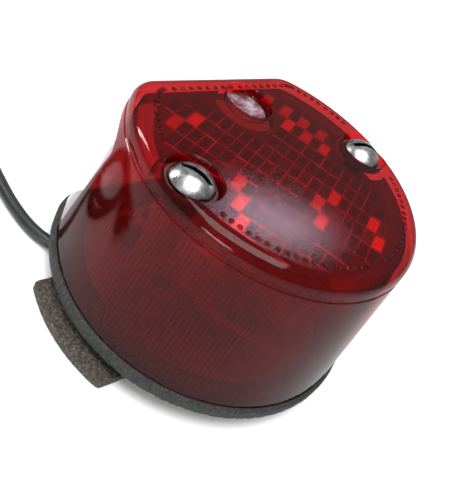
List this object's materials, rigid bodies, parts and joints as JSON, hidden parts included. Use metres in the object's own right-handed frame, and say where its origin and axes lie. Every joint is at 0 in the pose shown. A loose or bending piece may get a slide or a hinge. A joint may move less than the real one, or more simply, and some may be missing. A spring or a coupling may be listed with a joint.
{
  "type": "tail light",
  "caption": "Round red tail light for a motorcycle, with a flat plate-window side, two face screws, a reflex-prism face, a bayonet bulb and a black lead.",
  "frame": {"origin": "on the drum's axis at the back face of the mounting bar", "axes": "+Z out of the lens face, so the lamp lies on its back; -Y towards the flat side with the clear plate window, which faces down on the vehicle; +X to the screw whose side the cable leaves on"},
  "size_m": [0.1229, 0.1239, 0.0506],
  "materials": {
    "lens_red": "clear red moulded acrylic, glossy outside and fluted inside",
    "window_clear": "clear moulded acrylic",
    "reflex_red": "red prismatic reflector",
    "plated_screw": "worn zinc plate",
    "fibre_washer": "pressed fibre",
    "weathered_rubber": "weathered grey-black rubber",
    "corroded_steel": "pitted and corroded plated steel",
    "pad_rubber": "matt black rubber",
    "plated_steel": "yellowed zinc plate",
    "holder_steel": "dull plated steel",
    "bulb_glass": "clear glass",
    "bulb_brass": "dull brass",
    "black_vitrite": "black glass filling",
    "solder": "soft solder",
    "filament_wire": "bare wire on a glass pinch",
    "fibre_board": "phenolic board",
    "contact_brass": "spring brass",
    "red_wire": "soft insulation",
    "black_wire": "soft insulation",
    "cable_black": "satin black sheath",
    "plug_black": "moulded nylon"
  },
  "bodies": {
    "lamp": {"base_plate": "plated_steel", "mounting_bar": "corroded_steel", "mounting_pad": "pad_rubber", "lens_gasket": "weathered_rubber", "screw_posts": "plated_steel", "mount_nuts": "plated_steel", "bulb_holder": "holder_steel", "holder_insulator": "fibre_board", "contact_terminal": "contact_brass", "holder_bracket": "holder_steel", "bracket_rivets": "plated_steel", "earth_screw": "plated_steel", "earth_tag": "contact_brass", "earth_wire": "black_wire", "live_wire": "red_wire", "cable_grommet": "cable_black", "cable": "cable_black", "cable_coil": "cable_black", "cable_tail": "cable_black", "plug_body": "plug_black", "plug_pins": "contact_brass"},
    "lens_cover": {"lens": "lens_red", "plate_window": "window_clear", "reflex_reflector": "reflex_red", "screw_washers": "fibre_washer"},
    "screw_left": {"lens_screw_left": "plated_screw"},
    "screw_right": {"lens_screw_right": "plated_screw"},
    "bulb": {"bulb_glass": "bulb_glass", "bulb_cap": "bulb_brass", "bulb_insulator": "black_vitrite", "bulb_contact": "solder", "filament_mount": "filament_wire"},
    "leaf": {"contact_leaf": "contact_brass"}
  },
  "joints": [
    {"name": "lens_lift", "type": "slide", "parent": "lamp", "child": "lens_cover", "axis": [0, 0, 1], "range_m": [0, 0.045]},
    {"name": "screw_left_turn", "type": "hinge", "parent": "lens_cover", "child": "screw_left", "pos_m": [-0.029, 0.0015, 0.05], "axis": [0, 0, 1], "continuous": true},
    {"name": "screw_right_turn", "type": "hinge", "parent": "lens_cover", "child": "screw_right", "pos_m": [0.029, 0.0015, 0.05], "axis": [0, 0, 1], "continuous": true},
    {"name": "bulb_push", "type": "slide", "parent": "lamp", "child": "bulb", "axis": [0, 1, 0], "range_m": [0, 0.001], "stiffness_N_per_m": 1500, "springref_m": -0.002},
    {"name": "contact_bend", "type": "hinge", "parent": "lamp", "child": "leaf", "pos_m": [0, 0.02212, 0.018], "axis": [-1, 0, 0], "range_deg": [0, 10]}
  ],
  "couplings": [
    {"joint": "contact_bend", "follows": "bulb_push", "rad_per_m": 166}
  ]
}
